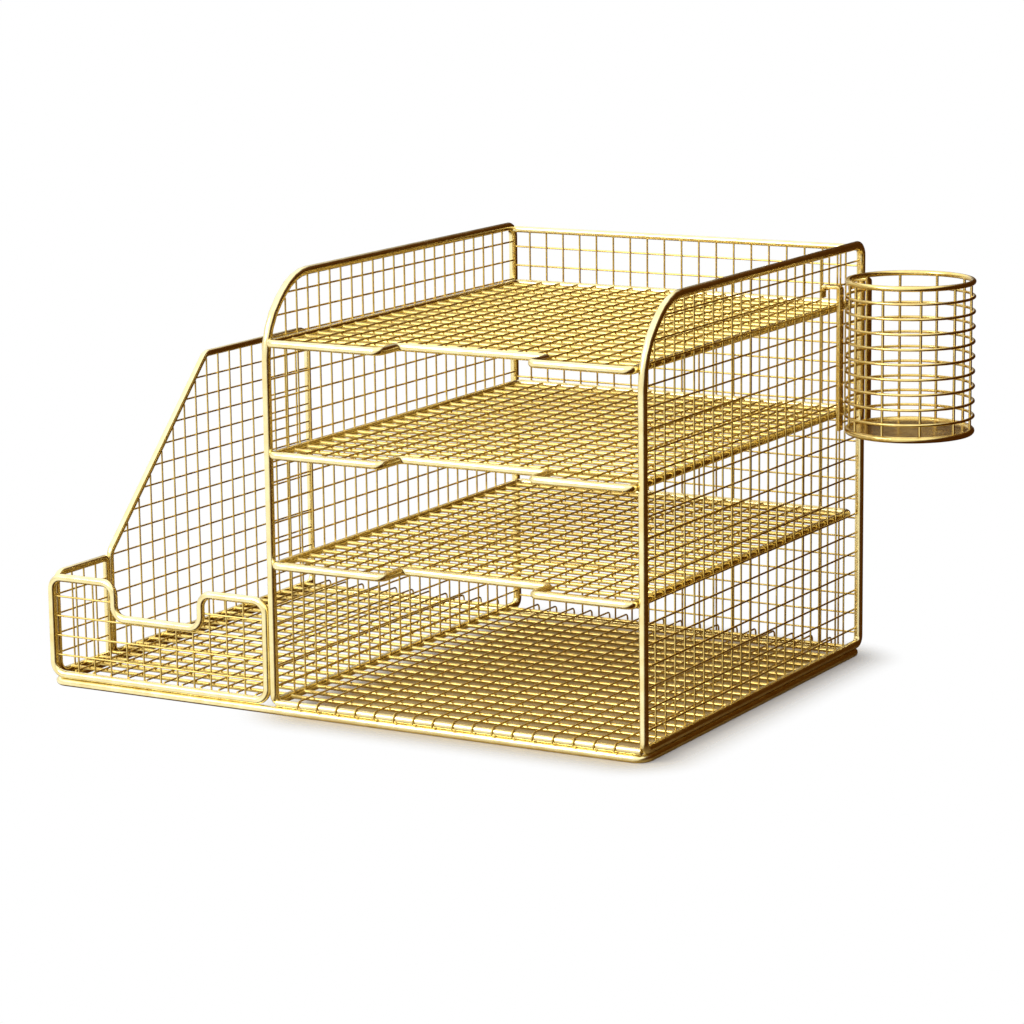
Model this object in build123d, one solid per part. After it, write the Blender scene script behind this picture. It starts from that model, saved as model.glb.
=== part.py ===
"""Letter rack of bent and welded wire: three trays over a floor, a file bay and a hang-on pen cup.

Millimetres. X runs along the front, Y to the back and Z up from the desk. While the rack is drawn, X is zero
on the panel that divides the trays from the file bay, and Y is zero on the front posts. The finished pieces
are then moved so that the origin lies under the middle of the whole rack.
"""

import os
from math import cos, degrees, pi, sqrt

from build123d import *

# Rack, measured between wire centres
main_width = 252.0
file_width = 165.0
depth = 300.0
panel_height = 258.0

# Wire diameters: cross_wire runs from side to side in the trays and floors, mesh_wire is the rest of the mesh
base_wire = 5.0
panel_wire = 5.5
tray_wire = 5.0
sill_wire = 4.5
back_wire = 4.0
file_wire = 4.5
front_wire = 5.0
mesh_wire = 1.2
cross_wire = 2.6

# Bends, as radii at the wire's centre
base_corner = 8.0
foot_bend = 5.0
brow_bend = 45.0
crown_bend = 40.0
rear_bend = 7.0

# Sloping front corner of the two tall panels
brow_run = 31.0
brow_drop = 28.0

# Trays: depth of the top one below the panels' top wire, and the finger recess in the front edge, which is a
# little to the right of the middle
top_tray_drop = 37.5
tray_pitch = 67.35
tray_lip = 5.0
tray_corner = 4.0
recess_width = 101.0
recess_depth = 22.0
recess_shift = 6.0
recess_corner = 4.0

# File bay: low front with a thumb notch, a low return beside it, then a side that slopes up to the back
file_front_height = 62.0
notch_width = 65.0
notch_depth = 22.0
notch_bend = 8.0
front_corner = 8.0
return_depth = 58.0
return_height = 63.3
return_corner = 7.0
return_rear_bend = 2.5
slope_foot = 66.2
slope_run = 113.0
file_side_height = 179.0
slope_bend = 8.0
file_rear_bend = 10.0

# Welded mesh: spacing, and the least room beside the frame wires
mesh_pitch = 12.5
deck_pitch = 13.5
cross_pitch = 14.2
upright_margin = 13.0
row_margin = 8.0
curl_drop = 4.0

# Pen cup
cup_diameter = 81.0
cup_standoff = 5.5
cup_height = 97.0
cup_rim_wire = 3.4
cup_foot_wire = 4.0
cup_ring_wire = 1.8
cup_ring_count = 9
cup_upright_count = 10
cup_upright_turn = 15.0
cup_floor_thickness = 1.0
rim_above_row = 5.4

# Pen cup hooks
hook_width = 6.0
hook_thickness = 2.0
hook_bend = 2.5
hook_drop = 6.0
hook_side_room = 1.25

# Clearances
weld_gap = 0.05
hang_gap = 0.2
hook_clearance = 0.3

# Wires have flat sides: eight on frame wires, four on mesh wires. The cup's hoops are many-sided, and
# each bend of a frame wire is drawn in straight steps that turn and run about this far.
wire_sides = 8
cup_sides = 24
step_turn = 22.5
step_run = 8.0


def spaced(low, high, pitch, margin):
    """Places at the pitch, centred between two limits, none nearer to a limit than the margin."""
    steps = int((high - low - 2 * margin) / pitch)
    first = (low + high - steps * pitch) / 2
    return [first + pitch * step for step in range(steps + 1)]


def lengthwise_plane(x):
    """Upright plane from front to back: its X is the rack's Y, its Y is up, its normal is the rack's X."""
    return Plane(origin=(x, 0, 0), x_dir=(0, 1, 0), z_dir=(1, 0, 0))


def crosswise_plane(y):
    """Upright plane from side to side: its X is the rack's X, its Y is up, its normal points to the front."""
    return Plane(origin=(0, y, 0), x_dir=(1, 0, 0), z_dir=(0, -1, 0))


def level_plane(z):
    """Level plane, whose X and Y are the rack's."""
    return Plane(origin=(0, 0, z))


def wire_section(start, diameter):
    """Flat-sided section of a frame wire, as wide as the wire across its flats."""
    return start * RegularPolygon(diameter / 2, wire_sides, major_radius=False, rotation=180 / wire_sides)


def bent_outline(corners, bends):
    """Closed outline with its bends in straight steps, starting halfway along its last side."""
    points = [(Vector(*corners[-1]) + Vector(*corners[0])) / 2]
    for edge in FilletPolyline(*corners, radius=bends, close=True).edges():
        if edge.geom_type == GeomType.CIRCLE:
            turn = degrees(edge.length / edge.radius)
            steps = round(max(turn / step_turn, edge.length / step_run))
            points += [edge @ (step / steps) for step in range(steps + 1)]
    return Polyline(*points, close=True)


def closed_wire(outline, diameter):
    """Wire bent into a closed loop."""
    start = Plane(origin=outline @ 0, x_dir=(0, 0, 1), z_dir=outline % 0)
    return sweep(wire_section(start, diameter), path=outline, transition=Transition.RIGHT)


def straight_wire(y, z, left, right, diameter):
    """Straight frame wire from side to side."""
    start = Plane(origin=(left, y, z), x_dir=(0, 0, 1), z_dir=(1, 0, 0))
    return extrude(wire_section(start, diameter), right - left)


def mesh_layer(outline, frame_wire, wire, places, run_up, level):
    """Parallel mesh wires on one side of a frame's plane, trimmed to the inside of its bent wire."""
    inside = offset(make_face(outline), -(frame_wire / 2 + weld_gap), kind=Kind.INTERSECTION)
    box = inside.bounding_box()
    room = extrude(inside, frame_wire, both=True)
    wires = []
    for place in places:
        if run_up:
            bar = Pos(place, box.center().Y, level) * Box(wire, 2 * box.size.Y, wire)
        else:
            bar = Pos(box.center().X, place, level) * Box(2 * box.size.X, wire, wire)
        wires += (bar & room).solids()
    return wires


def grille(name, plane, outline, frame_wire, uprights, rows, inside):
    """Bent frame with uprights welded flush with its inner side and rows of wire welded behind them."""
    upright_level = inside * (frame_wire - mesh_wire) / 2
    row_level = upright_level - inside * mesh_wire
    upright_wires = mesh_layer(outline, frame_wire, mesh_wire, uprights, True, upright_level)
    row_wires = mesh_layer(outline, frame_wire, mesh_wire, rows, False, row_level)
    return {
        f"{name}_frame": [plane * closed_wire(outline, frame_wire)],
        f"{name}_uprights": [plane * wire for wire in upright_wires],
        f"{name}_rows": [plane * wire for wire in row_wires],
    }


# Heights of the wires that stand on the base wire
panel_foot = base_wire + weld_gap + panel_wire / 2
panel_top = panel_foot + panel_height
sill_height = base_wire + weld_gap + sill_wire / 2
file_foot = base_wire + weld_gap + file_wire / 2
front_foot = base_wire + weld_gap + front_wire / 2
floor_level = sill_height + sill_wire / 2 + weld_gap

# Mesh places that more than one piece shares
panel_uprights = spaced(0, depth, mesh_pitch, upright_margin)
panel_rows = spaced(panel_foot, panel_top, mesh_pitch, row_margin)


def base_frame():
    """One wire round the whole foot of the rack."""
    corners = [(-file_width, 0), (main_width, 0), (main_width, depth), (-file_width, depth)]
    outline = bent_outline(corners, base_corner)
    return {"base_frame": [level_plane(base_wire / 2) * closed_wire(outline, base_wire)]}


def tall_panel(name, x, inside):
    """Tall side panel, with its front top corner bent back in two easy bends."""
    corners = [
        (0, panel_foot),
        (0, panel_top - brow_drop),
        (brow_run, panel_top),
        (depth, panel_top),
        (depth, panel_foot),
    ]
    bends = [foot_bend, brow_bend, crown_bend, rear_bend, foot_bend]
    outline = bent_outline(corners, bends)
    plane = lengthwise_plane(x)
    return grille(name, plane, outline, panel_wire, panel_uprights, panel_rows, inside)


def back_panel():
    """Mesh back behind the trays, under a top wire that meets the tall panels' rear bends halfway round."""
    left = panel_wire / 2 + weld_gap
    right = main_width - left
    bend_corner = rear_bend * (1 - sqrt(1 / 2))
    top = panel_top - bend_corner
    low, high = base_wire + weld_gap, top - back_wire / 2 - weld_gap
    upright_y = depth - (back_wire - mesh_wire) / 2
    row_y = upright_y + mesh_wire
    upright = Box(mesh_wire, mesh_wire, high - low)
    row = Box(right - left, mesh_wire, mesh_wire)
    upright_places = spaced(left, right, mesh_pitch, row_margin)
    row_places = spaced(low, high, mesh_pitch, row_margin)
    return {
        "back_panel_top_wire": [straight_wire(depth - bend_corner, top, left, right, back_wire)],
        "back_panel_uprights": [Pos(x, upright_y, (low + high) / 2) * upright for x in upright_places],
        "back_panel_rows": [Pos((left + right) / 2, row_y, z) * row for z in row_places],
    }


def tray(name, height):
    """Tray with a finger recess in its front edge, welded between the tall panels and against the back."""
    side_room = (panel_wire + tray_wire) / 2 + weld_gap
    left, right = side_room, main_width - side_room
    front = -tray_lip
    rear = depth - (back_wire + tray_wire) / 2 - weld_gap
    middle = main_width / 2 + recess_shift
    recess_left, recess_right = middle - recess_width / 2, middle + recess_width / 2
    recess_rear = front + recess_depth
    corners = [
        (left, front),
        (recess_left, front),
        (recess_left, recess_rear),
        (recess_right, recess_rear),
        (recess_right, front),
        (right, front),
        (right, rear),
        (left, rear),
    ]
    bends = [tray_corner] + 4 * [recess_corner] + 3 * [tray_corner]
    outline = bent_outline(corners, bends)
    long_places = spaced(left, right, deck_pitch, upright_margin)
    cross_places = spaced(front, rear, cross_pitch, row_margin)
    long_wires = mesh_layer(outline, tray_wire, mesh_wire, long_places, True, cross_wire / 2)
    cross_wires = mesh_layer(outline, tray_wire, cross_wire, cross_places, False, -mesh_wire / 2)
    plane = level_plane(height)
    return {
        f"{name}_tray_frame": [plane * closed_wire(outline, tray_wire)],
        f"{name}_tray_long_wires": [plane * wire for wire in long_wires],
        f"{name}_tray_cross_wires": [plane * wire for wire in cross_wires],
    }


def floor_cross_wires(left, right, front, rear):
    """Wires from side to side, under the floor's long wires."""
    length = right - left
    height = floor_level - cross_wire / 2
    places = spaced(front, rear, cross_pitch, row_margin)
    return [Pos((left + right) / 2, y, height) * Box(length, cross_wire, cross_wire) for y in places]


def main_floor():
    """Floor under the trays: its long wires curl down over a sill wire that lies on the base's front."""
    left = panel_wire / 2 + weld_gap
    right = main_width - left
    rear = depth - back_wire / 2 - weld_gap
    curl = sill_wire / 2 + weld_gap
    top = floor_level + mesh_wire
    side_view = Polyline(
        (-curl - mesh_wire, floor_level - curl_drop),
        (-curl - mesh_wire, top),
        (rear, top),
        (rear, floor_level),
        (-curl, floor_level),
        (-curl, floor_level - curl_drop),
        close=True,
    )
    long_wire = extrude(make_face(side_view), mesh_wire / 2, both=True)
    long_places = spaced(0, main_width, deck_pitch, upright_margin)
    return {
        "floor_sill": [straight_wire(0, sill_height, left, right, sill_wire)],
        "main_floor_long_wires": [lengthwise_plane(x) * long_wire for x in long_places],
        "main_floor_cross_wires": floor_cross_wires(left, right, curl, rear),
    }


def file_floor():
    """Floor of the file bay, from its front panel to the rear of the base wire."""
    left = -file_width + file_wire / 2 + weld_gap
    right = -panel_wire / 2 - weld_gap
    front = front_wire / 2 + weld_gap
    height = floor_level + mesh_wire / 2
    middle = (front + depth) / 2
    long_places = spaced(-file_width, 0, deck_pitch, upright_margin)
    long_wires = [Pos(x, middle, height) * Box(mesh_wire, depth - front, mesh_wire) for x in long_places]
    return {
        "file_floor_long_wires": long_wires,
        "file_floor_cross_wires": floor_cross_wires(left, right, front, depth),
    }


def file_front():
    """Low front of the file bay, its top wire bent down into a thumb notch."""
    left = -file_width
    right = -(panel_wire + front_wire) / 2 - weld_gap
    top = front_foot + file_front_height
    middle = (left + right) / 2
    notch_left, notch_right = middle - notch_width / 2, middle + notch_width / 2
    notch_floor = top - notch_depth
    corners = [
        (left, front_foot),
        (left, top),
        (notch_left, top),
        (notch_left, notch_floor),
        (notch_right, notch_floor),
        (notch_right, top),
        (right, top),
        (right, front_foot),
    ]
    bends = 2 * [front_corner] + 4 * [notch_bend] + 2 * [front_corner]
    outline = bent_outline(corners, bends)
    uprights = spaced(left, right, mesh_pitch, upright_margin)
    rows = spaced(front_foot, top, mesh_pitch, row_margin)
    return grille("file_front", crosswise_plane(0), outline, front_wire, uprights, rows, -1)


def file_return():
    """Low panel that closes the side of the file bay, next to its front."""
    near = (front_wire + file_wire) / 2 + weld_gap
    top = file_foot + return_height
    corners = [(near, file_foot), (near, top), (return_depth, top), (return_depth, file_foot)]
    bends = 2 * [return_corner] + 2 * [return_rear_bend]
    outline = bent_outline(corners, bends)
    uprights = spaced(near, return_depth, mesh_pitch, row_margin)
    rows = spaced(file_foot, top, mesh_pitch, row_margin)
    return grille("file_return", lengthwise_plane(-file_width), outline, file_wire, uprights, rows, 1)


def file_side():
    """Outer side of the file bay, which slopes up from behind the low return to its full height."""
    near = return_depth + file_wire + weld_gap
    top = file_foot + file_side_height
    corners = [
        (near, file_foot),
        (near, file_foot + slope_foot),
        (near + slope_run, top),
        (depth, top),
        (depth, file_foot),
    ]
    bends = [foot_bend, slope_bend, slope_bend, file_rear_bend, foot_bend]
    outline = bent_outline(corners, bends)
    uprights = spaced(near, depth, deck_pitch, upright_margin)
    rows = spaced(file_foot, top, mesh_pitch, upright_margin)
    return grille("file_side", lengthwise_plane(-file_width), outline, file_wire, uprights, rows, 1)


# The cup hangs on the second row from the top, one hook between two uprights and one beside the rear post
hook_row = panel_rows[-2]
front_hook_y = (panel_uprights[-4] + panel_uprights[-3]) / 2
rear_hook_y = depth - panel_wire / 2 - hook_side_room - hook_width / 2
cup_x = main_width + cup_standoff + cup_diameter / 2
cup_y = (front_hook_y + rear_hook_y) / 2
cup_rim_height = hook_row + rim_above_row
cup_foot_height = cup_rim_height + (cup_rim_wire + cup_foot_wire) / 2 - cup_height


def cup_hoop(wire, height):
    """Ring of square wire, its outside at the cup's diameter."""
    turn = 180 / cup_sides
    outside = RegularPolygon(cup_diameter / 2, cup_sides, major_radius=False, rotation=turn)
    inside = RegularPolygon(cup_diameter / 2 - wire, cup_sides, major_radius=False, rotation=turn)
    return Pos(cup_x, cup_y, height) * extrude(outside - inside, wire / 2, both=True)


def cup_thick_hoop(wire, height):
    """Ring of thick wire with its edges taken off, at the top or foot of the cup."""
    hoop = cup_hoop(wire, height)
    edge = wire * (1 - 1 / sqrt(2))
    return chamfer(hoop.edges().filter_by(lambda e: abs(e.tangent_at(0).Z) < 0.5), edge)


def cup_cage():
    """Rim, foot, rings, uprights and floor of the pen cup."""
    foot_top = cup_foot_height + cup_foot_wire / 2
    rim_bottom = cup_rim_height - cup_rim_wire / 2
    step = (cup_rim_height - cup_foot_height) / (cup_ring_count + 1)
    rings = [cup_hoop(cup_ring_wire, cup_foot_height + step * (n + 1)) for n in range(cup_ring_count)]
    upright_length = rim_bottom - foot_top - 2 * weld_gap
    upright_radius = cup_diameter / 2 - cup_ring_wire - weld_gap - cup_ring_wire / 2
    upright_place = Pos(cup_x, cup_y, (rim_bottom + foot_top) / 2)
    upright = Pos(upright_radius, 0, 0) * Box(cup_ring_wire, cup_ring_wire, upright_length)
    turns = [cup_upright_turn + 360 / cup_upright_count * n for n in range(cup_upright_count)]
    floor_radius = cup_diameter / 2 - cup_foot_wire - weld_gap
    floor = RegularPolygon(floor_radius, cup_sides, major_radius=False, rotation=180 / cup_sides)
    floor_place = Pos(cup_x, cup_y, cup_foot_height)
    return {
        "cup_rim": [cup_thick_hoop(cup_rim_wire, cup_rim_height)],
        "cup_foot_ring": [cup_thick_hoop(cup_foot_wire, cup_foot_height)],
        "cup_rings": rings,
        "cup_uprights": [upright_place * Rot(0, 0, turn) * upright for turn in turns],
        "cup_floor": [floor_place * extrude(floor, cup_floor_thickness / 2, both=True)],
    }


def cup_hooks():
    """Two flat straps up the side of the cup, bent over a row of the right panel."""
    half_span = (rear_hook_y - front_hook_y) / 2
    wall_radius = cup_diameter / 2 / cos(pi / cup_sides)
    near_edge = half_span - hook_width / 2
    strap_face = cup_x - sqrt(wall_radius**2 - near_edge**2) - weld_gap
    row_face = main_width - panel_wire / 2 + mesh_wire
    tongue_face = row_face - mesh_wire / 2 - hook_clearance
    under_bridge = hook_row + mesh_wire / 2 + hang_gap
    over_bridge = under_bridge + hook_thickness
    corners = [
        (strap_face, cup_foot_height),
        (strap_face, over_bridge),
        (tongue_face - hook_thickness, over_bridge),
        (tongue_face - hook_thickness, under_bridge - hook_drop),
        (tongue_face, under_bridge - hook_drop),
        (tongue_face, under_bridge),
        (strap_face - hook_thickness, under_bridge),
        (strap_face - hook_thickness, cup_foot_height),
    ]
    bends = [0, hook_bend, hook_bend, 0, 0, 0, 0, 0]
    side_view = make_face(FilletPolyline(*corners, radius=bends, close=True))
    strap = extrude(side_view, hook_width / 2, both=True)
    return {"cup_hooks": [crosswise_plane(y) * strap for y in (front_hook_y, rear_hook_y)]}


def rack():
    """Every piece of the rack, by node name."""
    nodes = {}
    nodes |= base_frame()
    nodes |= tall_panel("right_panel", main_width, -1)
    nodes |= tall_panel("left_panel", 0, 1)
    nodes |= back_panel()
    nodes |= main_floor()
    for steps_down, name in enumerate(("top", "middle", "bottom")):
        nodes |= tray(name, panel_top - top_tray_drop - steps_down * tray_pitch)
    nodes |= file_front()
    nodes |= file_return()
    nodes |= file_side()
    nodes |= file_floor()
    nodes |= cup_cage()
    nodes |= cup_hooks()
    return nodes


# The origin lies on the desk, under the middle of everything from the file bay's side to the cup
left_edge = -file_width - base_wire / 2
right_edge = cup_x + cup_diameter / 2
front_edge = -tray_lip - tray_wire / 2
rear_edge = max(cup_y + cup_diameter / 2, depth + panel_wire / 2)
to_origin = Pos(-(left_edge + right_edge) / 2, -(front_edge + rear_edge) / 2, 0)

os.makedirs("parts", exist_ok=True)
for node, solids in rack().items():
    export_step(Compound(children=[to_origin * solid for solid in solids]), f"parts/{node}.step")
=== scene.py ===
"""Dressed model of a wire letter rack.

Round bent frames and welded mesh in gold lacquer, lit in a plain white studio.
"""

import math

import bmesh
import bpy
from mathutils import Matrix, Vector


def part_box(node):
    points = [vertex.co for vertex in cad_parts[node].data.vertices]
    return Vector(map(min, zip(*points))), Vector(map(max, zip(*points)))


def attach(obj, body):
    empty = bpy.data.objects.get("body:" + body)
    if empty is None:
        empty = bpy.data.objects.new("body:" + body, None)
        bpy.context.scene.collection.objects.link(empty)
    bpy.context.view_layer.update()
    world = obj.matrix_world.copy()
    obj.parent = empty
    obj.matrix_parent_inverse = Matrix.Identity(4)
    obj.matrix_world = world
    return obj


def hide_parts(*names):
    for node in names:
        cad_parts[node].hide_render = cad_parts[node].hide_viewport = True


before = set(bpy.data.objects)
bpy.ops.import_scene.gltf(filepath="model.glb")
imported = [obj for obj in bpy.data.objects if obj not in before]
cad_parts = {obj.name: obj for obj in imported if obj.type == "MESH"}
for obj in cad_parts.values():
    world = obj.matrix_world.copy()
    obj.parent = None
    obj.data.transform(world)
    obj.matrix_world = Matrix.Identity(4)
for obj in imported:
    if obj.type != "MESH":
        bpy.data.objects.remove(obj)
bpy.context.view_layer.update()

MM = 0.001
MERGE = 0.01 * MM
X_AXIS, Y_AXIS, Z_AXIS = range(3)

# Smoothness of round shapes: the sides of a wire, the steps round the cup, the turn of one step in a bend and
# the fewest steps in it, the subdivisions of a bead, and the steps across a hook's edge
FRAME_SIDES = 16
MESH_SIDES = 10
CUP_SIDES = 12
CUP_STEPS = 72
BEND_STEP = math.radians(11)
FEWEST_STEPS = 2
BEAD_SUBDIVISIONS = 1
HOOK_EDGE_STEPS = 2

# Angles between two faces: above the first their edge is sharp, and below the second they are one flat face
SHARP_ANGLE = math.radians(40)
FLAT_ANGLE = math.radians(1)

# Bends of the frame wires, as radii at the wire's centre
BASE_CORNER = 8 * MM
FOOT_BEND = 5 * MM
BROW_BEND = 45 * MM
CROWN_BEND = 40 * MM
REAR_BEND = 7 * MM
TRAY_CORNER = 4 * MM
FRONT_CORNER = 8 * MM
RETURN_CORNER = 7 * MM
RETURN_REAR_BEND = 2.5 * MM
SLOPE_BEND = 8 * MM
FILE_REAR_BEND = 10 * MM

# Corners that the bends round off
BROW_RUN = 31 * MM
BROW_DROP = 28 * MM
RECESS_WIDTH = 101 * MM
RECESS_DEPTH = 22 * MM
RECESS_SHIFT = 6 * MM
NOTCH_WIDTH = 65 * MM
NOTCH_DEPTH = 22 * MM
SLOPE_FOOT = 66.2 * MM
SLOPE_RUN = 113 * MM

# Welded mesh: how far a wire reaches into the frame, how far crossing wires are pressed together, the radius
# of a bead of weld as a share of the wire's thickness, and the bend where a floor's long wires turn down
WELD_REACH = 1.1 * MM
WELD_PRESS = 0.25 * MM
BEAD_SHARE = 0.6
CURL_BEND = 3.0 * MM

# Width of the rounded edges of the cup's hooks
HOOK_EDGE = 0.35 * MM

# Gold lacquer: how much rougher it gets from patch to patch, where in the noise its colour starts and stops
# changing, how fine the noise is, and the depth and strength of the grain
ROUGHNESS_SPAN = 0.15
PATCH_START = 0.3
PATCH_STOP = 0.7
PATCH_DETAIL = 3.0
GRAIN_DETAIL = 2.0
GRAIN_DEPTH = 0.1 * MM
GRAIN_STRENGTH = 0.12

# Camera at the photograph's angle: its place in metres, how far it is turned left, tilted down and rolled,
# its lens and sensor in millimetres, and how far it sees in metres
CAMERA_PLACE = (1.0652, -1.88545, 0.5367)
CAMERA_YAW = math.radians(29.58)
CAMERA_PITCH = math.radians(11.26)
CAMERA_ROLL = math.radians(0.68)
CAMERA_LENS = 123.94
CAMERA_SENSOR = 36
CAMERA_REACH = 50

# Bright side of the room: its direction, the cosines of the angle from it between which the room goes from
# dim to bright, and the colours of the two sides
LIT_SIDE = (-0.6, -0.56, 0.57)
DIM_COSINE = -0.15
LIT_COSINE = 0.2
DIM_COLOUR = "#46290A"
WHITE = "#FFFFFF"

# Brightness of the room at heights from -1, straight down, to 1, straight up: it falls a little from the
# table to eye level, and the ceiling adds to it
TABLE_HEIGHT = -0.1
TABLE_LIGHT = 1.2
EYE_HEIGHT = 0.06
EYE_LIGHT = 1.0
CEILING_START = 0.28
CEILING_HEIGHT = 0.48
CEILING_LIGHT = 0.6

# Share of the room's light that matt surfaces get, so that the lamp's shadow shows on the floor
MATT_SHARE = 0.12

# White backdrop in the metal: its direction behind the rack, and the cosines of the angle from it between
# which it shows up
BACKDROP = (-0.49, 0.85, -0.19)
BACKDROP_START = 0.94
BACKDROP_FULL = 1.0

# Floor: its radius in metres and number of sides, how far inside the foot of the tray bay it starts to fade,
# how long the fade is, and its colour, pale paper with a warm gold tint that is painted bounce light from the
# gold wires
FLOOR_RADIUS = 1.6
FLOOR_SIDES = 96
FADE_INSET = 20 * MM
FADE_LENGTH = 55 * MM
# The warm gold tint is painted light: it stands in for the light that the gold wires bounce onto the floor
PAPER_TINT_WITH_PAINTED_BOUNCE = "#E9D4A2"

# Lamp above the left of the front: its place, target and width in metres, and its power in watts
LAMP_PLACE = (-1.0, -2.1, 1.6)
LAMP_TARGET = (0, 0, 0.1)
LAMP_WIDTH = 1.2
LAMP_POWER = 42


def linear(colour):
    """Linear red, green, blue and alpha of an sRGB hex colour."""
    parts = [int(colour[i:i + 2], 16) / 255 for i in (1, 3, 5)]
    return [c / 12.92 if c <= 0.04045 else ((c + 0.055) / 1.055) ** 2.4 for c in parts] + [1.0]


def add(tree, kind, inputs=None, **settings):
    """Adds a node with its settings, and sets or links its inputs."""
    made = tree.nodes.new(kind)
    for key, value in settings.items():
        setattr(made, key, value)
    for key, value in (inputs or {}).items():
        if isinstance(value, bpy.types.NodeSocket):
            tree.links.new(value, made.inputs[key])
        else:
            made.inputs[key].default_value = value
    return made


def gold_lacquer(name, deep, bright, roughness, patch_mm, grain_mm):
    """Gold lacquer on drawn steel wire.

    Shiny and warm. The colour is a little deeper where the coat is thick, the gloss varies in soft patches,
    and the drawn wire gives it a fine grain, which is coarser here than in life so that it shows.
    """
    material = bpy.data.materials.new(name)
    material.use_nodes = True
    tree = material.node_tree
    tree.nodes.clear()
    place = add(tree, "ShaderNodeTexCoord").outputs["Object"]
    patch = add(
        tree,
        "ShaderNodeTexNoise",
        {"Vector": place, "Scale": 1 / (patch_mm * MM), "Detail": PATCH_DETAIL},
    )
    grain = add(
        tree,
        "ShaderNodeTexNoise",
        {"Vector": place, "Scale": 1 / (grain_mm * MM), "Detail": GRAIN_DETAIL},
    )
    ramp = add(tree, "ShaderNodeValToRGB", {"Fac": patch.outputs["Fac"]})
    ramp.color_ramp.elements[0].position = PATCH_START
    ramp.color_ramp.elements[0].color = linear(deep)
    ramp.color_ramp.elements[1].position = PATCH_STOP
    ramp.color_ramp.elements[1].color = linear(bright)
    gloss = add(
        tree,
        "ShaderNodeMapRange",
        {"Value": patch.outputs["Fac"], "To Min": roughness, "To Max": roughness + ROUGHNESS_SPAN},
    )
    bump = add(
        tree,
        "ShaderNodeBump",
        {"Height": grain.outputs["Fac"], "Strength": GRAIN_STRENGTH, "Distance": GRAIN_DEPTH},
    )
    shader = add(
        tree,
        "ShaderNodeBsdfPrincipled",
        {
            "Base Color": ramp.outputs["Color"],
            "Metallic": 1.0,
            "Roughness": gloss.outputs["Result"],
            "Normal": bump.outputs["Normal"],
        },
    )
    add(tree, "ShaderNodeOutputMaterial", {"Surface": shader.outputs["BSDF"]})
    return material


# One gold lacquer in three copies, whose colours differ partly as painted light: the frame wires are paler, a
# painted highlight for the light the outer frames catch, and the mesh wires deeper, a painted shade for the
# shade among the trays
FINISHES = {
    "frame_wire": gold_lacquer(
        "gold_lacquer_on_bent_wire_painted_light",
        # Paler colours: painted highlight on the frame wires
        deep="#EBD796",
        bright="#F8EBB6",
        roughness=0.15,
        patch_mm=9,
        grain_mm=0.5,
    ),
    "mesh_wire": gold_lacquer(
        "gold_lacquer_on_mesh_wire_painted_shade",
        # Deeper colours: painted shade on the mesh wires among the trays and the floor
        deep="#D0B260",
        bright="#E4CB7C",
        roughness=0.22,
        patch_mm=6,
        grain_mm=0.4,
    ),
    "cup_wire": gold_lacquer(
        "gold_lacquer_on_cup_wire",
        deep="#DBC074",
        bright="#EBD48C",
        roughness=0.15,
        patch_mm=7,
        grain_mm=0.4,
    ),
}


def finished(bm, name, body, slot, node):
    """Makes a piece of a bmesh. It rides on its body and stands for its CAD node."""
    bmesh.ops.remove_doubles(bm, verts=bm.verts, dist=MERGE)
    bmesh.ops.recalc_face_normals(bm, faces=bm.faces)
    for face in bm.faces:
        face.smooth = True
    mesh = bpy.data.meshes.new(name)
    bm.to_mesh(mesh)
    bm.free()
    mesh.set_sharp_from_angle(angle=SHARP_ANGLE)
    mesh.materials.append(FINISHES[slot])
    piece = bpy.data.objects.new(name, mesh)
    bpy.context.scene.collection.objects.link(piece)
    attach(piece, body)
    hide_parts(node)


def facing(place, direction):
    """Matrix that puts a shape drawn along Z at a place, along a direction."""
    return Matrix.Translation(place) @ direction.to_track_quat("Z", "Y").to_matrix().to_4x4()


def drawn_out(bm, edges, step):
    """Draws the open end of a wire out along a straight, and gives the new end."""
    drawn = bmesh.ops.extrude_edge_only(bm, edges=edges)["geom"]
    verts = [v for v in drawn if isinstance(v, bmesh.types.BMVert)]
    bmesh.ops.translate(bm, verts=verts, vec=step)
    ends = set(verts)
    return [e for e in drawn if isinstance(e, bmesh.types.BMEdge) and set(e.verts) <= ends]


def bent_wire(bm, corners, bends, diameter, closed=True, sides=FRAME_SIDES):
    """Round wire, drawn out along each straight and spun round each bend."""
    points = [Vector(corner) for corner in corners]
    if closed:
        start = end = (points[-1] + points[0]) / 2
    else:
        start, *points, end = points
    direction = (points[0] - start).normalized()
    ring = bmesh.ops.create_circle(
        bm, cap_ends=not closed, segments=sides, radius=diameter / 2, matrix=facing(start, direction)
    )["verts"]
    edges = list({edge for vert in ring for edge in vert.link_edges})
    place = start
    for corner, after, bend in zip(points, points[1:] + [end], bends):
        leaving = (after - corner).normalized()
        turn = direction.angle(leaving)
        axis = direction.cross(leaving).normalized()
        setback = bend * math.tan(turn / 2)
        bend_start = corner - direction * setback
        edges = drawn_out(bm, edges, bend_start - place)
        spun = bmesh.ops.spin(
            bm,
            geom=edges,
            cent=bend_start + axis.cross(direction) * bend,
            axis=axis,
            angle=turn,
            steps=max(FEWEST_STEPS, round(turn / BEND_STEP)),
        )["geom_last"]
        edges = [e for e in spun if isinstance(e, bmesh.types.BMEdge)]
        place = corner + leaving * setback
        direction = leaving
    edges = drawn_out(bm, edges, end - place)
    if not closed:
        bmesh.ops.contextual_create(bm, geom=edges)


def inset_box(node, axis):
    """Wire of a frame that is one wire thick on an axis, and its centre line's lowest and highest corners."""
    low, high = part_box(node)
    wire = high[axis] - low[axis]
    margin = Vector((wire, wire, wire)) / 2
    return wire, low + margin, high - margin


def base_frame():
    """Corners, bends and wire of the loop round the foot."""
    wire, low, high = inset_box("base_frame", Z_AXIS)
    outline = [(low.x, low.y), (high.x, low.y), (high.x, high.y), (low.x, high.y)]
    return [(x, y, low.z) for x, y in outline], len(outline) * [BASE_CORNER], wire


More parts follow.
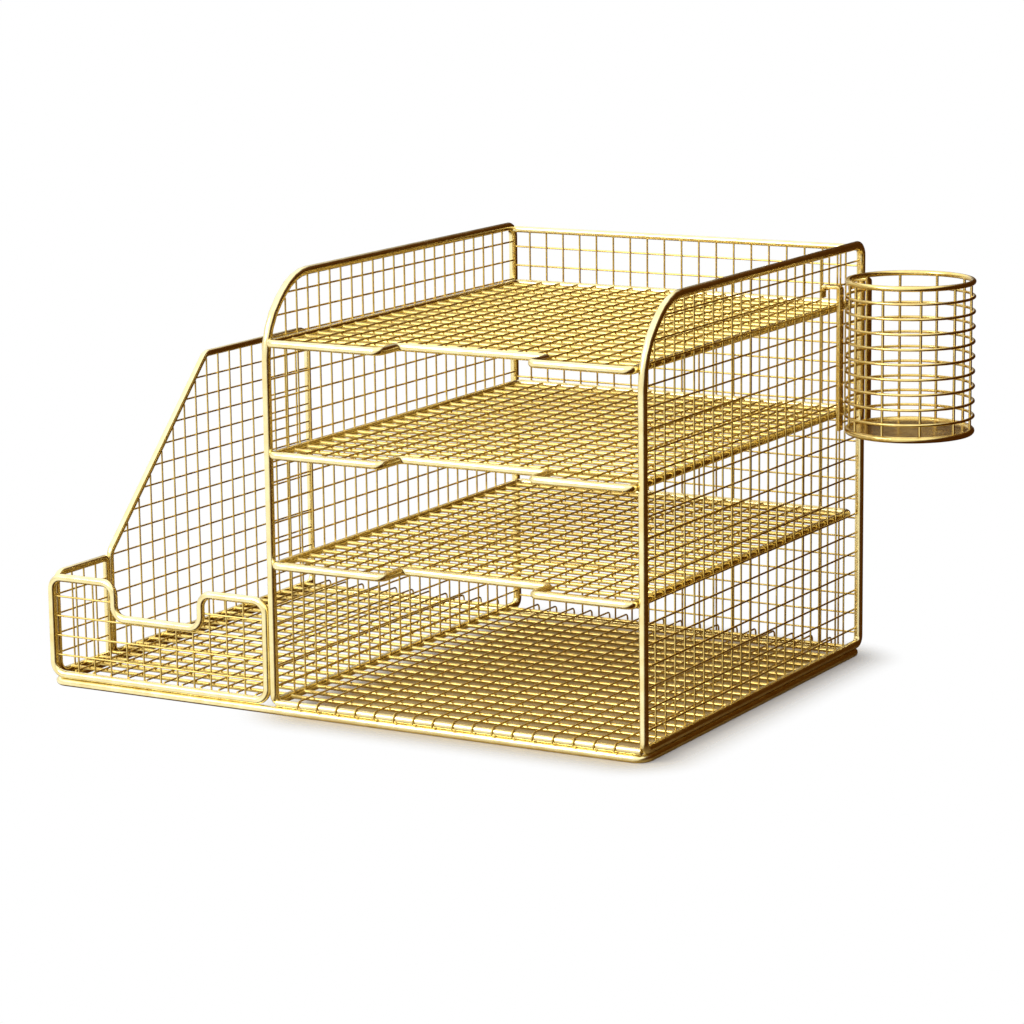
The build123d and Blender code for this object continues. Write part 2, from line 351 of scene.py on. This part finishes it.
def tall_panel(node):
    """Corners, bends and wire of a tall panel beside the trays, which slopes at the top of its front."""
    wire, low, high = inset_box(node, X_AXIS)
    outline = [
        (low.y, low.z),
        (low.y, high.z - BROW_DROP),
        (low.y + BROW_RUN, high.z),
        (high.y, high.z),
        (high.y, low.z),
    ]
    bends = [FOOT_BEND, BROW_BEND, CROWN_BEND, REAR_BEND, FOOT_BEND]
    return [(low.x, y, z) for y, z in outline], bends, wire


def tray_frame(node):
    """Corners, bends and wire of a tray with a finger recess in its front."""
    wire, low, high = inset_box(node, Z_AXIS)
    middle = (low.x + high.x) / 2 + RECESS_SHIFT
    recess_left = middle - RECESS_WIDTH / 2
    recess_right = middle + RECESS_WIDTH / 2
    outline = [
        (low.x, low.y),
        (recess_left, low.y),
        (recess_left, low.y + RECESS_DEPTH),
        (recess_right, low.y + RECESS_DEPTH),
        (recess_right, low.y),
        (high.x, low.y),
        (high.x, high.y),
        (low.x, high.y),
    ]
    return [(x, y, low.z) for x, y in outline], len(outline) * [TRAY_CORNER], wire


def file_front():
    """Corners, bends and wire of the file bay's low front with its thumb notch."""
    wire, low, high = inset_box("file_front_frame", Y_AXIS)
    middle = (low.x + high.x) / 2
    notch_left = middle - NOTCH_WIDTH / 2
    notch_right = middle + NOTCH_WIDTH / 2
    outline = [
        (low.x, low.z),
        (low.x, high.z),
        (notch_left, high.z),
        (notch_left, high.z - NOTCH_DEPTH),
        (notch_right, high.z - NOTCH_DEPTH),
        (notch_right, high.z),
        (high.x, high.z),
        (high.x, low.z),
    ]
    return [(x, low.y, z) for x, z in outline], len(outline) * [FRONT_CORNER], wire


def file_return():
    """Corners, bends and wire of the low panel at the front of the file bay's outer side."""
    wire, low, high = inset_box("file_return_frame", X_AXIS)
    outline = [(low.y, low.z), (low.y, high.z), (high.y, high.z), (high.y, low.z)]
    bends = [RETURN_CORNER, RETURN_CORNER, RETURN_REAR_BEND, RETURN_REAR_BEND]
    return [(low.x, y, z) for y, z in outline], bends, wire


def file_side():
    """Corners, bends and wire of the file bay's outer side, which slopes up to the back."""
    wire, low, high = inset_box("file_side_frame", X_AXIS)
    outline = [
        (low.y, low.z),
        (low.y, low.z + SLOPE_FOOT),
        (low.y + SLOPE_RUN, high.z),
        (high.y, high.z),
        (high.y, low.z),
    ]
    bends = [FOOT_BEND, SLOPE_BEND, SLOPE_BEND, FILE_REAR_BEND, FOOT_BEND]
    return [(low.x, y, z) for y, z in outline], bends, wire


FRAMES = {
    "base_frame": base_frame(),
    "right_panel_frame": tall_panel("right_panel_frame"),
    "left_panel_frame": tall_panel("left_panel_frame"),
    "bottom_tray_frame": tray_frame("bottom_tray_frame"),
    "middle_tray_frame": tray_frame("middle_tray_frame"),
    "top_tray_frame": tray_frame("top_tray_frame"),
    "file_front_frame": file_front(),
    "file_return_frame": file_return(),
    "file_side_frame": file_side(),
}
for node, (corners, bends, wire) in FRAMES.items():
    loop = bmesh.new()
    bent_wire(loop, corners, bends, wire)
    finished(loop, f"{node}_bent_wire", "rack", "frame_wire", node)


def strands(node):
    """Lowest and highest corners of each separate wire in a CAD node."""
    bm = bmesh.new()
    bm.from_mesh(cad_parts[node].data)
    bmesh.ops.remove_doubles(bm, verts=bm.verts, dist=MERGE)
    left = set(bm.verts)
    boxes = []
    while left:
        ahead = [left.pop()]
        found = []
        while ahead:
            vert = ahead.pop()
            found.append(vert.co)
            beside = {edge.other_vert(vert) for edge in vert.link_edges} & left
            left -= beside
            ahead += beside
        low = [min(co[axis] for co in found) for axis in range(3)]
        high = [max(co[axis] for co in found) for axis in range(3)]
        boxes.append((low, high))
    bm.free()
    return [(Vector(low), Vector(high)) for low, high in sorted(boxes)]


def straight_wire(bm, start, end, diameter, sides=MESH_SIDES):
    """Round wire between two points, with flat ends."""
    bmesh.ops.create_cone(
        bm,
        cap_ends=True,
        segments=sides,
        radius1=diameter / 2,
        radius2=diameter / 2,
        depth=(end - start).length,
        matrix=facing((start + end) / 2, end - start),
    )


def weld_bead(bm, place, wire):
    """Small bead of weld at the end of a mesh wire."""
    bmesh.ops.create_icosphere(
        bm, subdivisions=BEAD_SUBDIVISIONS, radius=BEAD_SHARE * wire, matrix=Matrix.Translation(place)
    )


def thin_axis(node):
    """Axis on which a layer of wires is one wire thick."""
    low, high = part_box(node)
    size = high - low
    return min(range(3), key=lambda axis: size[axis])


def mesh_layer(node, pressed_to=None):
    """One layer of mesh wires, welded to the frame at their ends and pressed to the layer that is given."""
    across = thin_axis(node)
    press = Vector((0, 0, 0))
    if pressed_to:
        apart = sum(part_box(pressed_to), Vector()) - sum(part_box(node), Vector())
        press[across] = math.copysign(WELD_PRESS, apart[across])
    bm = bmesh.new()
    for low, high in strands(node):
        size = high - low
        wire = size[across]
        along = max(range(3), key=lambda axis: size[axis])
        middle = (low + high) / 2 + press
        half = Vector((0, 0, 0))
        half[along] = size[along] / 2
        reach = half.normalized() * WELD_REACH
        straight_wire(bm, middle - half - reach, middle + half + reach, wire)
        weld_bead(bm, middle - half, wire)
        weld_bead(bm, middle + half, wire)
    finished(bm, f"{node}_round", "rack", "mesh_wire", node)


for grille in ("right_panel", "left_panel", "back_panel", "file_front", "file_return", "file_side"):
    mesh_layer(f"{grille}_uprights")
    mesh_layer(f"{grille}_rows", f"{grille}_uprights")
for tray in ("bottom_tray", "middle_tray", "top_tray"):
    mesh_layer(f"{tray}_long_wires")
    mesh_layer(f"{tray}_cross_wires", f"{tray}_long_wires")
for floor in ("main_floor", "file_floor"):
    mesh_layer(f"{floor}_cross_wires", f"{floor}_long_wires")


def floor_long_wires(node, over_sill):
    """Long wires of a floor, bent down at the rear into the foot wire, and over the sill if there is one."""
    foot_level = inset_box("base_frame", Z_AXIS)[1].z
    bm = bmesh.new()
    for low, high in strands(node):
        x = (low.x + high.x) / 2
        wire = high.x - low.x
        level = high.z - wire / 2
        route = [Vector((x, high.y, foot_level)), Vector((x, high.y, level))]
        if over_sill:
            front = low.y + wire / 2
            route += [Vector((x, front, level)), Vector((x, front, low.z))]
        else:
            route.append(Vector((x, low.y - WELD_REACH, level)))
            weld_bead(bm, Vector((x, low.y, level)), wire)
        bends = (len(route) - 2) * [CURL_BEND]
        bent_wire(bm, route, bends, wire, closed=False, sides=MESH_SIDES)
    finished(bm, f"{node}_round", "rack", "mesh_wire", node)


def level_wire(node):
    """Straight frame wire from side to side."""
    low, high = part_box(node)
    middle = (low + high) / 2
    reach = Vector(((high.x - low.x) / 2 + WELD_REACH, 0, 0))
    bm = bmesh.new()
    straight_wire(bm, middle - reach, middle + reach, high.z - low.z, FRAME_SIDES)
    finished(bm, f"{node}_round", "rack", "frame_wire", node)


floor_long_wires("main_floor_long_wires", True)
floor_long_wires("file_floor_long_wires", False)
level_wire("floor_sill")
level_wire("back_panel_top_wire")


def hoop(bm, low, high):
    """Round wire ring that fills a box."""
    wire = high.z - low.z
    middle = (low + high) / 2
    radius = (high.x - low.x - wire) / 2
    section = bmesh.ops.create_circle(
        bm,
        segments=CUP_SIDES,
        radius=wire / 2,
        matrix=facing(middle + Vector((radius, 0, 0)), Vector((0, 1, 0))),
    )["verts"]
    bmesh.ops.spin(
        bm,
        geom=list({edge for vert in section for edge in vert.link_edges}),
        cent=middle,
        axis=(0, 0, 1),
        angle=2 * math.pi,
        steps=CUP_STEPS,
        use_merge=True,
    )


def cup_hoops(node):
    """Rings of the pen cup that lie in one CAD node."""
    bm = bmesh.new()
    for low, high in strands(node):
        hoop(bm, low, high)
    finished(bm, f"{node}_round", "pen_cup", "cup_wire", node)


def cup_uprights():
    """Uprights of the pen cup, as thick as its thin rings and welded to its rim and foot."""
    ring_low, ring_high = strands("cup_rings")[0]
    bm = bmesh.new()
    for low, high in strands("cup_uprights"):
        middle = (low + high) / 2
        reach = Vector((0, 0, (high.z - low.z) / 2 + WELD_REACH))
        straight_wire(bm, middle - reach, middle + reach, ring_high.z - ring_low.z)
    finished(bm, "cup_uprights_round", "pen_cup", "cup_wire", "cup_uprights")


def cup_floor():
    """Round sheet in the foot ring of the pen cup."""
    low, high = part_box("cup_floor")
    radius = (high.x - low.x) / 2 + WELD_REACH
    bm = bmesh.new()
    bmesh.ops.create_cone(
        bm,
        cap_ends=True,
        segments=CUP_STEPS,
        radius1=radius,
        radius2=radius,
        depth=high.z - low.z,
        matrix=Matrix.Translation((low + high) / 2),
    )
    finished(bm, "cup_floor_round", "pen_cup", "cup_wire", "cup_floor")


def cup_hooks():
    """Hooks of the pen cup with their edges rounded."""
    bm = bmesh.new()
    bm.from_mesh(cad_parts["cup_hooks"].data)
    bmesh.ops.remove_doubles(bm, verts=bm.verts, dist=MERGE)
    bmesh.ops.dissolve_limit(bm, angle_limit=FLAT_ANGLE, verts=bm.verts, edges=bm.edges)
    bmesh.ops.bevel(
        bm,
        geom=[e for e in bm.edges if e.is_manifold and e.calc_face_angle() > SHARP_ANGLE],
        offset=HOOK_EDGE,
        offset_type="OFFSET",
        affect="EDGES",
        segments=HOOK_EDGE_STEPS,
        profile=0.5,
        material=-1,
    )
    finished(bm, "cup_hooks_rounded", "pen_cup", "cup_wire", "cup_hooks")


cup_hoops("cup_rim")
cup_hoops("cup_foot_ring")
cup_hoops("cup_rings")
cup_uprights()
cup_floor()
cup_hooks()


def camera():
    """Camera at the photograph's angle."""
    level = math.cos(CAMERA_PITCH)
    ahead = Vector((-math.sin(CAMERA_YAW) * level, math.cos(CAMERA_YAW) * level, -math.sin(CAMERA_PITCH)))
    right = Vector((math.cos(CAMERA_YAW), math.sin(CAMERA_YAW), 0))
    down = ahead.cross(right)
    turned_right = math.cos(CAMERA_ROLL) * right + math.sin(CAMERA_ROLL) * down
    turned_down = -math.sin(CAMERA_ROLL) * right + math.cos(CAMERA_ROLL) * down
    data = bpy.data.cameras.new("camera")
    data.lens = CAMERA_LENS
    data.sensor_width = CAMERA_SENSOR
    data.clip_end = CAMERA_REACH
    eye = bpy.data.objects.new("camera", data)
    turn = Matrix((turned_right, -turned_down, -ahead)).transposed().to_4x4()
    eye.matrix_world = Matrix.Translation(CAMERA_PLACE) @ turn
    bpy.context.scene.collection.objects.link(eye)
    bpy.context.scene.camera = eye


def white_room():
    """World that is bright from the left, the front and above, and dim and warm from the other side.

    Matt surfaces get a small share of it. The backdrop is white to the camera, and in the metal too where it
    reflects what is behind the rack.
    """
    world = bpy.data.worlds.new("white_studio")
    world.use_nodes = True
    tree = world.node_tree
    tree.nodes.clear()
    direction = add(tree, "ShaderNodeTexCoord").outputs["Generated"]
    toward_lit = add(tree, "ShaderNodeVectorMath", {0: direction, 1: LIT_SIDE}, operation="DOT_PRODUCT")
    lit = add(
        tree,
        "ShaderNodeMapRange",
        {"Value": toward_lit.outputs["Value"], "From Min": DIM_COSINE, "From Max": LIT_COSINE},
        interpolation_type="SMOOTHSTEP",
    )
    ramp = add(tree, "ShaderNodeValToRGB", {"Fac": lit.outputs["Result"]})
    ramp.color_ramp.elements[0].color = linear(DIM_COLOUR)
    ramp.color_ramp.elements[1].color = linear(WHITE)
    height = add(tree, "ShaderNodeSeparateXYZ", {"Vector": direction}).outputs["Z"]
    table = add(
        tree,
        "ShaderNodeMapRange",
        {
            "Value": height,
            "From Min": TABLE_HEIGHT,
            "From Max": EYE_HEIGHT,
            "To Min": TABLE_LIGHT,
            "To Max": EYE_LIGHT,
        },
    )
    ceiling = add(
        tree,
        "ShaderNodeMapRange",
        {"Value": height, "From Min": CEILING_START, "From Max": CEILING_HEIGHT, "To Max": CEILING_LIGHT},
    )
    brightness = add(
        tree,
        "ShaderNodeMath",
        {0: table.outputs["Result"], 1: ceiling.outputs["Result"]},
        operation="ADD",
    )
    path = add(tree, "ShaderNodeLightPath")
    mirrored = add(
        tree,
        "ShaderNodeMath",
        {0: path.outputs["Is Glossy Ray"], 1: path.outputs["Is Transmission Ray"]},
        operation="ADD",
    )
    share = add(
        tree,
        "ShaderNodeMath",
        {0: mirrored.outputs["Value"], 1: 1 - MATT_SHARE, 2: MATT_SHARE},
        operation="MULTIPLY_ADD",
    )
    strength = add(
        tree,
        "ShaderNodeMath",
        {0: brightness.outputs["Value"], 1: share.outputs["Value"]},
        operation="MULTIPLY",
    )
    room = add(
        tree,
        "ShaderNodeBackground",
        {"Color": ramp.outputs["Color"], "Strength": strength.outputs["Value"]},
    )
    white = add(tree, "ShaderNodeBackground", {"Color": linear(WHITE), "Strength": 1.0})
    toward_backdrop = add(tree, "ShaderNodeVectorMath", {0: direction, 1: BACKDROP}, operation="DOT_PRODUCT")
    behind = add(
        tree,
        "ShaderNodeMapRange",
        {"Value": toward_backdrop.outputs["Value"], "From Min": BACKDROP_START, "From Max": BACKDROP_FULL},
    )
    backdrop = add(
        tree,
        "ShaderNodeMath",
        {0: mirrored.outputs["Value"], 1: behind.outputs["Result"], 2: path.outputs["Is Camera Ray"]},
        operation="MULTIPLY_ADD",
        use_clamp=True,
    )
    mixed = add(
        tree,
        "ShaderNodeMixShader",
        {0: backdrop.outputs["Value"], 1: room.outputs["Background"], 2: white.outputs["Background"]},
    )
    add(tree, "ShaderNodeOutputWorld", {"Surface": mixed.outputs["Shader"]})
    bpy.context.scene.world = world


def paper_with_painted_bounce():
    """Matt pale paper with a warm gold tint, which gives no reflection; the tint is painted light for what
    the gold wires bounce onto it, and warms the shade under the trays.

    It fades to clear round the foot of the tray bay, and the white backdrop takes its place beyond.
    """
    paper = bpy.data.materials.new("matt_paper_with_painted_bounce")
    paper.use_nodes = True
    tree = paper.node_tree
    tree.nodes.clear()
    low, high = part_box("base_frame")
    low = Vector((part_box("left_panel_frame")[1].x, low.y, low.z))
    shaded = (high - low) / 2 - Vector((FADE_INSET, FADE_INSET, 0))
    place = add(tree, "ShaderNodeTexCoord").outputs["Object"]
    offset = add(tree, "ShaderNodeVectorMath", {0: place, 1: (low + high) / 2}, operation="SUBTRACT")
    spread = add(tree, "ShaderNodeVectorMath", {0: offset.outputs["Vector"]}, operation="ABSOLUTE")
    beyond = add(tree, "ShaderNodeVectorMath", {0: spread.outputs["Vector"], 1: shaded}, operation="SUBTRACT")
    outside = add(tree, "ShaderNodeVectorMath", {0: beyond.outputs["Vector"]}, operation="MAXIMUM")
    distance = add(tree, "ShaderNodeVectorMath", {0: outside.outputs["Vector"]}, operation="LENGTH")
    fade = add(
        tree,
        "ShaderNodeMapRange",
        {"Value": distance.outputs["Value"], "From Min": 0.0, "From Max": FADE_LENGTH},
        interpolation_type="SMOOTHSTEP",
    )
    matt = add(tree, "ShaderNodeBsdfDiffuse", {"Color": linear(PAPER_TINT_WITH_PAINTED_BOUNCE)})
    clear = add(tree, "ShaderNodeBsdfTransparent")
    faded = add(
        tree,
        "ShaderNodeMixShader",
        {0: fade.outputs["Result"], 1: matt.outputs["BSDF"], 2: clear.outputs["BSDF"]},
    )
    add(tree, "ShaderNodeOutputMaterial", {"Surface": faded.outputs["Shader"]})
    return paper


def studio_floor():
    """Flat floor under the rack."""
    bm = bmesh.new()
    bmesh.ops.create_circle(bm, cap_ends=True, segments=FLOOR_SIDES, radius=FLOOR_RADIUS)
    mesh = bpy.data.meshes.new("floor")
    bm.to_mesh(mesh)
    bm.free()
    mesh.materials.append(paper_with_painted_bounce())
    ground = bpy.data.objects.new("floor", mesh)
    bpy.context.scene.collection.objects.link(ground)


def key_lamp():
    """Soft square lamp above the left of the front, pointed at the rack."""
    data = bpy.data.lights.new("key_lamp", "AREA")
    data.size = LAMP_WIDTH
    data.energy = LAMP_POWER
    light = bpy.data.objects.new("key_lamp", data)
    place = Vector(LAMP_PLACE)
    light.matrix_world = facing(place, place - Vector(LAMP_TARGET))
    bpy.context.scene.collection.objects.link(light)


camera()
white_room()
studio_floor()
key_lamp()
bpy.context.scene.view_settings.view_transform = "Standard"
